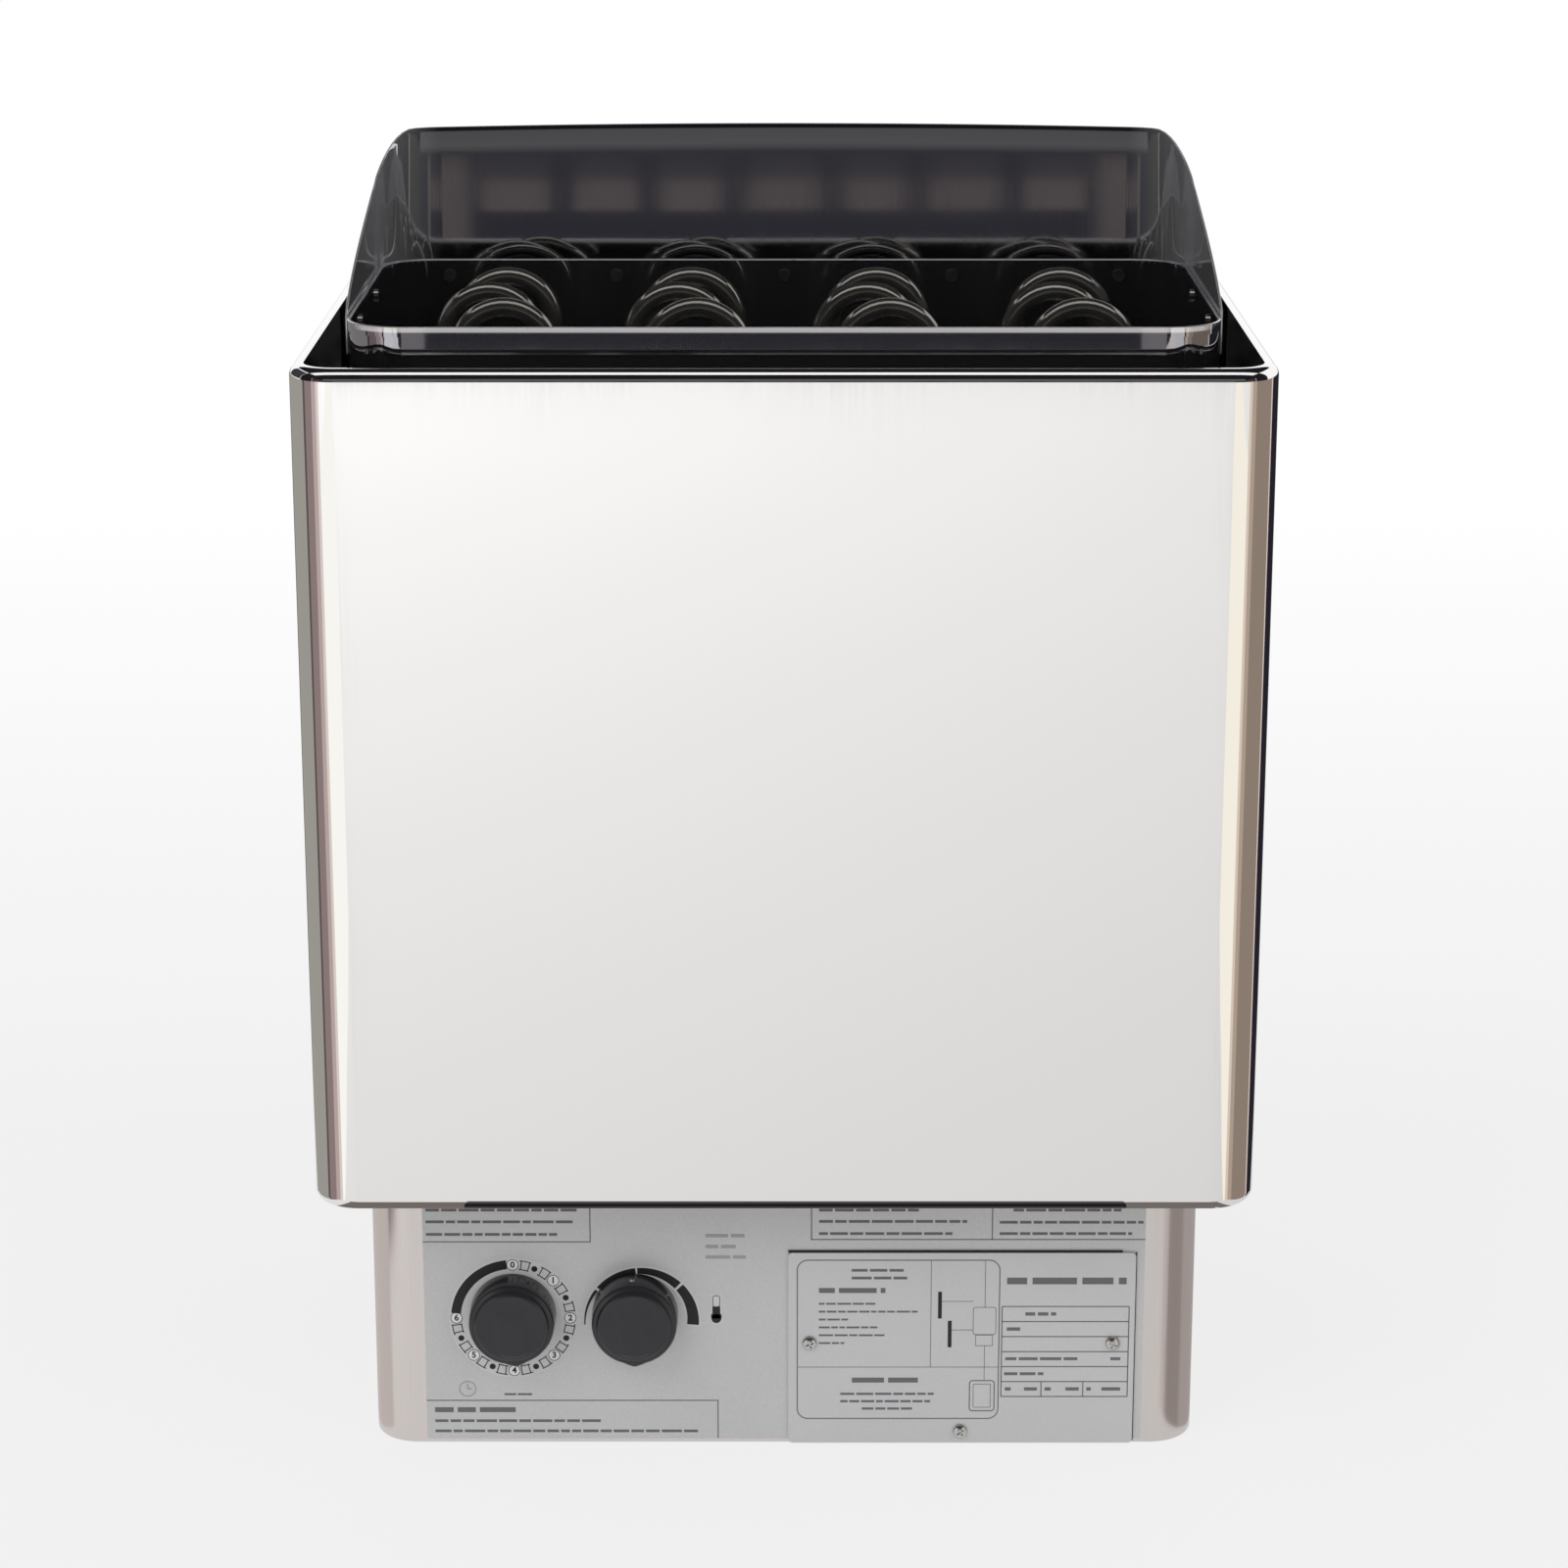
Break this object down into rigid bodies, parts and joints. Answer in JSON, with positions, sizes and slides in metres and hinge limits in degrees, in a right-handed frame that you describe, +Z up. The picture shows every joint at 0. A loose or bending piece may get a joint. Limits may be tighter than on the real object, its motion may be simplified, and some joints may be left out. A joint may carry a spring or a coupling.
{
  "type": "sauna heater stove",
  "caption": "Wall-hung electric sauna heater: steel casing round an open stone box with looped heating elements and a steam hood, on a base with timer and thermostat knobs.",
  "frame": {"origin": "on the floor plane under the middle of the heater's box, at the foot of the base", "axes": "+Z up, +Y back towards the wall, +X to the right seen from the front"},
  "size_m": [0.41, 0.28, 0.572],
  "materials": {
    "casing_steel": "polished stainless sheet",
    "box_steel": "dark stainless sheet",
    "hood_steel": "dark polished stainless sheet",
    "zinc_steel": "zinc-coated sheet",
    "element_sheath": "drawn heat-resistant tube",
    "base_steel": "satin stainless sheet",
    "fascia_foil": "printed metal foil",
    "cover_plate": "printed metal plate",
    "screw_steel": "bright plated steel",
    "brass": "turned",
    "copper": "drawn",
    "knob_plastic": "moulded",
    "control_plastic": "moulded",
    "reset_plastic": "moulded",
    "block_ceramic": "pressed",
    "lead_silicone": "extruded",
    "black_rubber": "moulded"
  },
  "bodies": {
    "heater": {"outer_casing": "casing_steel", "back_panel": "zinc_steel", "wall_bracket": "zinc_steel", "wall_buffers": "black_rubber", "casing_screws": "screw_steel", "panel_screws": "screw_steel", "stone_box": "box_steel", "stone_grate": "box_steel", "support_rail_front": "zinc_steel", "support_rail_rear": "zinc_steel", "rear_stays": "zinc_steel", "steam_hood": "hood_steel", "hood_rivets": "screw_steel", "element_nuts": "brass", "neutral_link": "brass", "link_nuts": "brass", "base_shell": "base_steel", "element_plate": "zinc_steel", "plate_screws": "screw_steel", "base_back": "zinc_steel", "base_back_screws": "screw_steel", "base_floor": "zinc_steel", "fascia_plate": "fascia_foil", "terminal_cover": "cover_plate", "cover_screws": "screw_steel", "control_screws": "screw_steel", "timer_body": "control_plastic", "thermostat_body": "control_plastic", "capillary_tube": "copper", "sensor_bulb": "copper", "bulb_clips": "zinc_steel", "overheat_limiter": "control_plastic", "terminal_block": "block_ceramic", "terminal_screws": "brass", "power_leads": "lead_silicone", "earth_stud": "brass", "earth_nut": "brass", "cable_grommet": "black_rubber", "heating_element_front": "element_sheath", "heating_element_middle": "element_sheath", "heating_element_rear": "element_sheath"},
    "timer_dial": {"timer_shaft": "brass", "timer_knob": "knob_plastic"},
    "thermostat_dial": {"thermostat_shaft": "brass", "thermostat_knob": "knob_plastic"},
    "reset": {"reset_button": "reset_plastic"}
  },
  "joints": [
    {"name": "timer_turn", "type": "hinge", "parent": "heater", "child": "timer_dial", "pos_m": [-0.1212, -0.1, 0.0638], "axis": [0, 1, 0], "range_deg": [-174, 96]},
    {"name": "thermostat_turn", "type": "hinge", "parent": "heater", "child": "thermostat_dial", "pos_m": [-0.0666, -0.1, 0.0638], "axis": [0, 1, 0], "range_deg": [0, 270]},
    {"name": "reset_press", "type": "slide", "parent": "heater", "child": "reset", "axis": [0, 0, 1], "range_m": [0, 0.0025], "stiffness_N_per_m": 600}
  ]
}
